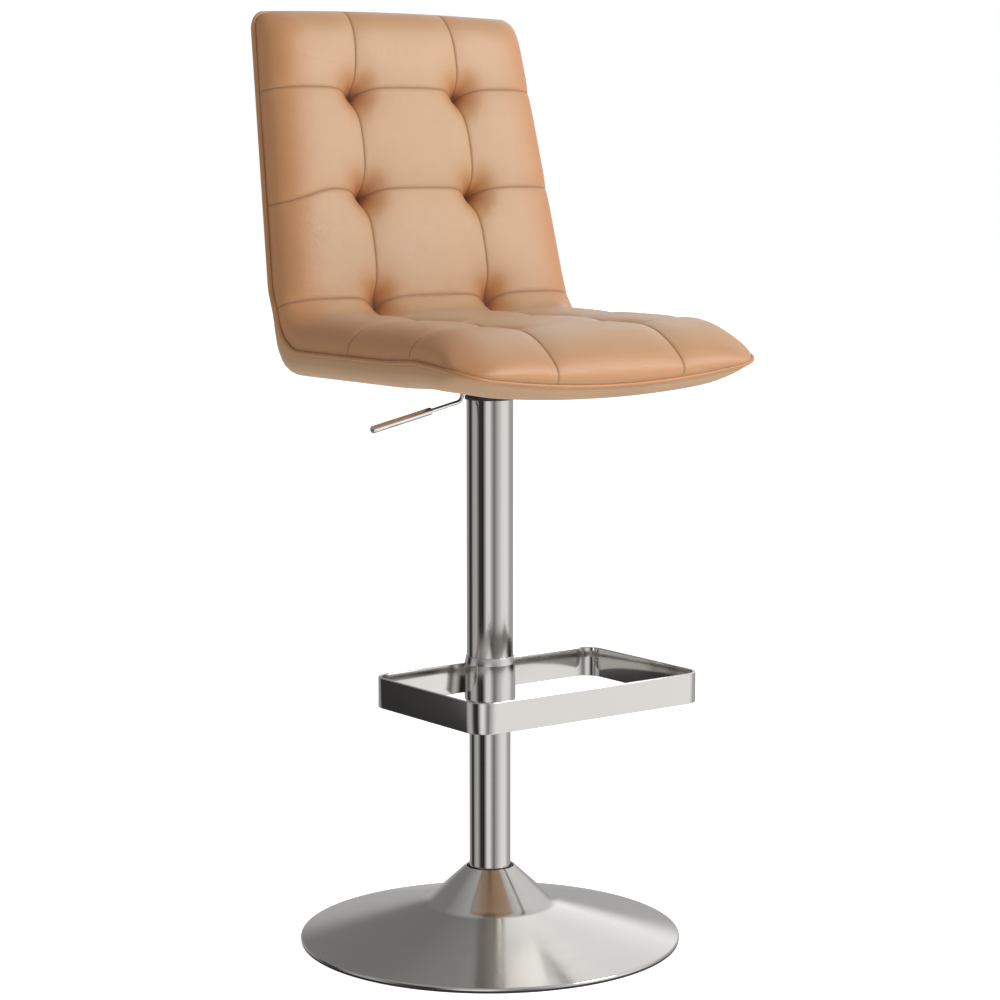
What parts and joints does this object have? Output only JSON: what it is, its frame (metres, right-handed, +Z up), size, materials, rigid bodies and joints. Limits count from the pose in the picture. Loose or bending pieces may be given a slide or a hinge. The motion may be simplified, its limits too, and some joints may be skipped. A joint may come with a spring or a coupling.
{
  "type": "bar stool with footrest",
  "caption": "Swivel bar stool with a round trumpet base, a gas-lift column, a flat-strip footrest loop, a height lever and a one-piece tufted padded seat and back.",
  "frame": {"origin": "centre of the base on the floor", "axes": "+Z up, -Y the way the sitter faces, +X to the sitter's left"},
  "size_m": [0.46, 0.4792, 1.114],
  "materials": {
    "rubber": "matte",
    "brushed_base": "fine brushed",
    "cast_iron": "rough",
    "dark_steel": "satin black",
    "polished_tube": "polished",
    "zinc_steel": "zinc plated",
    "black_plastic": "matte",
    "bearing_steel": "ground",
    "brushed_strip": "fine brushed",
    "plywood": "bare",
    "tan_cover": "satin",
    "tan_cushion": "satin leatherette",
    "tan_welt": "satin",
    "polished_lever": "polished"
  },
  "bodies": {
    "base": {"floor_ring": "rubber", "base_cover": "brushed_base", "ballast_disc": "cast_iron", "hub_socket": "dark_steel", "column_tube": "polished_tube", "column_foot": "zinc_steel", "dust_seal": "rubber", "guide_bush": "black_plastic", "lower_race": "bearing_steel", "clip_washer": "zinc_steel"},
    "bearing": {"bearing_balls": "bearing_steel", "bearing_cage": "black_plastic"},
    "piston": {"upper_race": "bearing_steel", "rubber_buffer": "rubber", "retaining_clip": "zinc_steel", "piston_rod": "bearing_steel", "piston_head": "black_plastic"},
    "seat": {"gas_cylinder": "dark_steel", "rod_gland": "black_plastic", "valve_body": "zinc_steel", "seat_pan": "dark_steel", "seat_hub": "dark_steel", "seat_bolts": "zinc_steel", "bolt_washers": "zinc_steel", "tee_nuts": "zinc_steel", "shroud_tube": "polished_tube", "shroud_top_bush": "black_plastic", "shroud_liner": "black_plastic", "footrest_collar": "polished_tube", "footrest_loop": "brushed_strip", "lever_bracket": "dark_steel", "pivot_pin": "zinc_steel", "seat_board": "plywood", "outer_cover": "tan_cover", "tufted_cushion": "tan_cushion", "welt_piping": "tan_welt"},
    "lever": {"lever_rod": "polished_lever", "lever_grip": "polished_lever", "grip_cap": "polished_lever"},
    "valve_pin": {"release_pin": "zinc_steel"}
  },
  "joints": [
    {"name": "seat_swivel", "type": "hinge", "parent": "base", "child": "piston", "pos_m": [0, 0, 0.02], "axis": [0, 0, 1], "continuous": true},
    {"name": "cage_turn", "type": "hinge", "parent": "base", "child": "bearing", "pos_m": [0, 0, 0.02], "axis": [0, 0, 1], "continuous": true},
    {"name": "seat_lift", "type": "slide", "parent": "piston", "child": "seat", "axis": [0, 0, 1], "range_m": [-0.2, 0]},
    {"name": "lever_pull", "type": "hinge", "parent": "seat", "child": "lever", "pos_m": [-0.022, 0, 0.68], "axis": [0, 1, 0], "range_deg": [0, 8], "stiffness_Nm_per_rad": 2, "springref_deg": -11.46},
    {"name": "pin_press", "type": "slide", "parent": "seat", "child": "valve_pin", "axis": [0, 0, -1], "range_m": [0, 0.0034]}
  ],
  "couplings": [
    {"joint": "cage_turn", "follows": "seat_swivel", "ratio": 0.5},
    {"joint": "pin_press", "follows": "lever_pull", "m_per_rad": 0.024}
  ]
}
